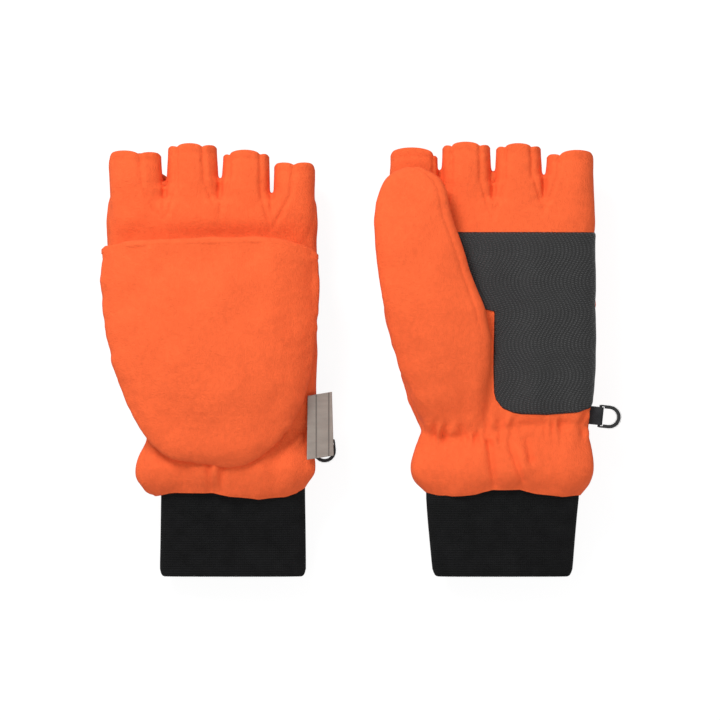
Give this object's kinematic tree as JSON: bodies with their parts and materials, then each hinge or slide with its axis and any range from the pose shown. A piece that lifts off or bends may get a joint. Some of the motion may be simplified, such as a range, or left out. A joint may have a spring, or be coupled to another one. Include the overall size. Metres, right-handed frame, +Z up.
{
  "type": "convertible fleece mittens",
  "caption": "Pair of convertible fleece mittens: open-ended finger stalls, fold-back hood, full thumb, grip patch, rib-knit cuff and a hanging clip ring.",
  "frame": {"origin": "middle of the pair's bounding box in X and Y, on the surface that the pair lies on", "axes": "+Z up, +Y to the fingertips, +X from the right-hand glove to the left-hand glove"},
  "size_m": [0.292, 0.244, 0.0586],
  "materials": {
    "fleece": "brushed fleece",
    "insulation": "non-woven wadding",
    "lining": "brushed jersey",
    "knit": "fine rib knit",
    "patch": "embossed synthetic leather",
    "elastic": "shirring elastic",
    "label": "satin weave",
    "tape": "webbing",
    "plastic": "moulded"
  },
  "bodies": {
    "right_glove": {"right_index_middle_fourchette": "fleece", "right_middle_ring_fourchette": "fleece", "right_ring_little_fourchette": "fleece", "right_back_panel": "fleece", "right_palm_panel": "fleece", "right_thumb_inner_panel": "fleece", "right_thumb_outer_panel": "fleece", "right_insulation": "insulation", "right_lining": "lining", "right_wrist_elastic": "elastic", "right_knit_cuff": "knit", "right_palm_patch": "patch", "right_hood_anchor": "fleece", "right_side_label": "label", "right_clip_tape": "tape"},
    "right_hood": {"right_hood_under_panel": "fleece", "right_hood_top_panel": "fleece", "right_hood_hem": "fleece"},
    "right_clip": {"right_clip_ring": "plastic"},
    "left_glove": {"left_index_middle_fourchette": "fleece", "left_middle_ring_fourchette": "fleece", "left_ring_little_fourchette": "fleece", "left_back_panel": "fleece", "left_palm_panel": "fleece", "left_thumb_inner_panel": "fleece", "left_thumb_outer_panel": "fleece", "left_insulation": "insulation", "left_lining": "lining", "left_wrist_elastic": "elastic", "left_knit_cuff": "knit", "left_palm_patch": "patch", "left_hood_anchor": "fleece", "left_clip_tape": "tape"},
    "left_hood": {"left_hood_under_panel": "fleece", "left_hood_top_panel": "fleece", "left_hood_hem": "fleece"},
    "left_clip": {"left_clip_ring": "plastic"}
  },
  "joints": [
    {"name": "right_hood_fold", "type": "hinge", "parent": "right_glove", "child": "right_hood", "pos_m": [-0.0819, 0.0686, 0.0472], "axis": [-0.9968, 0, 0.0797], "range_deg": [0, 180]},
    {"name": "left_hood_fold", "type": "hinge", "parent": "left_glove", "child": "left_hood", "pos_m": [0.0732, 0.0686, 0.0073], "axis": [1, 0, 0], "range_deg": [0, 180]},
    {"name": "left_glove_lift", "type": "slide", "parent": "right_glove", "child": "left_glove", "axis": [0, 0, 1], "range_m": [0, 0.15]},
    {"name": "right_clip_swing", "type": "hinge", "parent": "right_glove", "child": "right_clip", "pos_m": [-0.0205, -0.046, 0.0123], "axis": [0.9945, 0.1045, 0], "range_deg": [-37, 90]},
    {"name": "left_clip_swing", "type": "hinge", "parent": "left_glove", "child": "left_clip", "pos_m": [0.1344, -0.0314, 0.0276], "axis": [0.1045, 0.9945, 0], "range_deg": [-75, 75]}
  ]
}
